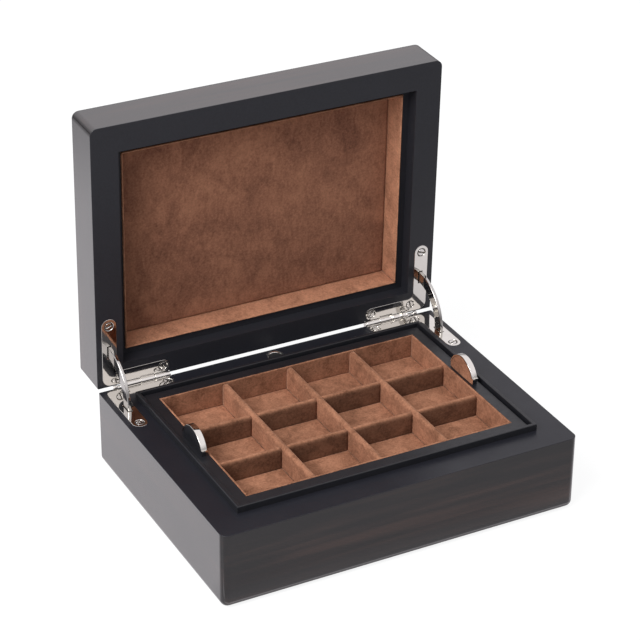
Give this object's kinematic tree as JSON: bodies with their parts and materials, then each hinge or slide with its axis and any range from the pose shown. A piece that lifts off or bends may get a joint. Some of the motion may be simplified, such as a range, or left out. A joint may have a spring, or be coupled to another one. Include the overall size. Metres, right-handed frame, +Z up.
{
  "type": "ring storage box",
  "caption": "Lacquered box with a hinged lid that stands open, and a suede-lined tray of compartments with pull tabs.",
  "frame": {"origin": "centre of the underside of the base, on the surface that the box stands on", "axes": "+X to the right as seen from the front, +Y to the back where the hinges are, +Z up; millimetre solids, metres here"},
  "size_m": [0.22, 0.1937, 0.2139],
  "materials": {
    "lacquered_wood": "satin lacquer, very dark brown",
    "bare_board": "plain sanded board",
    "black_frame": "black satin covering",
    "black_leather": "fine-grained black leather",
    "brown_suede": "napped brown suede",
    "black_felt": "black felt",
    "polished_nickel": "polished nickel plate",
    "stud_core": "dark matt core"
  },
  "bodies": {
    "base": {"base_front_wall": "lacquered_wood", "base_back_wall": "lacquered_wood", "base_left_wall": "lacquered_wood", "base_right_wall": "lacquered_wood", "base_front_liner": "lacquered_wood", "base_back_liner": "lacquered_wood", "base_left_liner": "lacquered_wood", "base_right_liner": "lacquered_wood", "base_bottom_panel": "bare_board", "base_underside_felt": "black_felt", "well_floor_pad": "brown_suede", "tray_rest_front": "brown_suede", "tray_rest_back": "brown_suede", "tray_rest_left": "brown_suede", "tray_rest_right": "brown_suede", "rim_stud_ring": "polished_nickel", "rim_stud_core": "stud_core", "base_leaf_screws": "polished_nickel", "base_hinge_leaf_left": "polished_nickel", "base_hinge_leaf_right": "polished_nickel", "hinge_pin_left": "polished_nickel", "hinge_pin_right": "polished_nickel"},
    "lid": {"lid_front_wall": "lacquered_wood", "lid_back_wall": "lacquered_wood", "lid_left_wall": "lacquered_wood", "lid_right_wall": "lacquered_wood", "lid_front_lining": "brown_suede", "lid_back_lining": "brown_suede", "lid_left_lining": "brown_suede", "lid_right_lining": "brown_suede", "lid_top_panel": "lacquered_wood", "lid_padded_panel": "brown_suede", "lid_hinge_leaf_left": "polished_nickel", "lid_hinge_leaf_right": "polished_nickel", "lid_leaf_screws": "polished_nickel"},
    "stay_left": {"stay_left": "polished_nickel"},
    "stay_right": {"stay_right": "polished_nickel"},
    "tray": {"tray_front_frame": "black_frame", "tray_back_frame": "black_frame", "tray_left_frame": "black_frame", "tray_right_frame": "black_frame", "tray_base_board": "bare_board", "tray_wall_linings": "brown_suede", "tray_floor_pads": "brown_suede", "long_divider_1": "brown_suede", "long_divider_2": "brown_suede", "long_divider_3": "brown_suede", "cross_divider_front_1": "brown_suede", "cross_divider_front_2": "brown_suede", "cross_divider_front_3": "brown_suede", "cross_divider_front_4": "brown_suede", "cross_divider_back_1": "brown_suede", "cross_divider_back_2": "brown_suede", "cross_divider_back_3": "brown_suede", "cross_divider_back_4": "brown_suede", "pull_left": "black_leather", "pull_right": "black_leather", "pull_strip_left": "polished_nickel", "pull_strip_right": "polished_nickel", "pull_strip_nails": "polished_nickel"}
  },
  "joints": [
    {"name": "lid_hinge", "type": "hinge", "parent": "base", "child": "lid", "pos_m": [0, 0.0837, 0.0471], "axis": [1, 0, 0], "range_deg": [0, 88.5]},
    {"name": "stay_left_swing", "type": "hinge", "parent": "base", "child": "stay_left", "pos_m": [-0.102, 0.0837, 0.0471], "axis": [1, 0, 0], "range_deg": [0, 44.25]},
    {"name": "stay_right_swing", "type": "hinge", "parent": "base", "child": "stay_right", "pos_m": [0.102, 0.0837, 0.0471], "axis": [1, 0, 0], "range_deg": [0, 44.25]},
    {"name": "tray_lift", "type": "slide", "parent": "base", "child": "tray", "axis": [0, 0, 1], "range_m": [0, 0.0045]}
  ],
  "couplings": [
    {"joint": "stay_left_swing", "follows": "lid_hinge", "ratio": 0.5},
    {"joint": "stay_right_swing", "follows": "lid_hinge", "ratio": 0.5}
  ]
}
